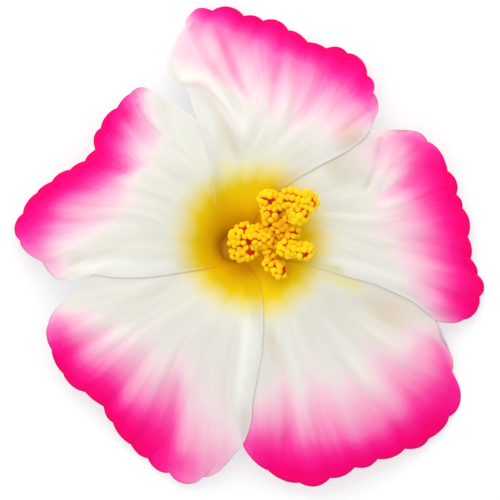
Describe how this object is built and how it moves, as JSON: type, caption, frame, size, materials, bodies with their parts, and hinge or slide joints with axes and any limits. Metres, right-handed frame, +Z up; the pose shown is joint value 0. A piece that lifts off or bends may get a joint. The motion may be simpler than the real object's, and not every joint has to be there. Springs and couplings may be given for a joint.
{
  "type": "hibiscus flower",
  "caption": "Open hibiscus flower lying face up: white petals with scalloped hot-pink rims, a yellow throat, a leaning column of beady yellow anthers, and a green calyx beneath.",
  "frame": {"origin": "centre of the footprint, on the surface that the flower lies on", "axes": "+Z up, out of the flower's face; +X and +Y along the footprint, with the top petal towards +Y"},
  "size_m": [0.109, 0.1108, 0.0241],
  "materials": {
    "petal": "matt, white with a hot-pink rim and a yellow throat",
    "anther": "satin yellow beads",
    "column": "matt orange-red",
    "calyx": "matt green",
    "bract": "matt green",
    "stalk": "matt green, pale cut end"
  },
  "bodies": {
    "root": {"petal_top": "petal", "petal_right": "petal", "petal_lower_right": "petal", "petal_lower_left": "petal", "petal_left": "petal", "staminal_column": "column", "anther_head_left": "anther", "anther_head_upper_left": "anther", "anther_head_upper_right": "anther", "anther_head_right": "anther", "anther_head_lower": "anther", "calyx": "calyx", "bract_1": "bract", "bract_2": "bract", "bract_3": "bract", "bract_4": "bract", "bract_5": "bract", "bract_6": "bract", "bract_7": "bract", "stalk": "stalk"}
  },
  "joints": []
}
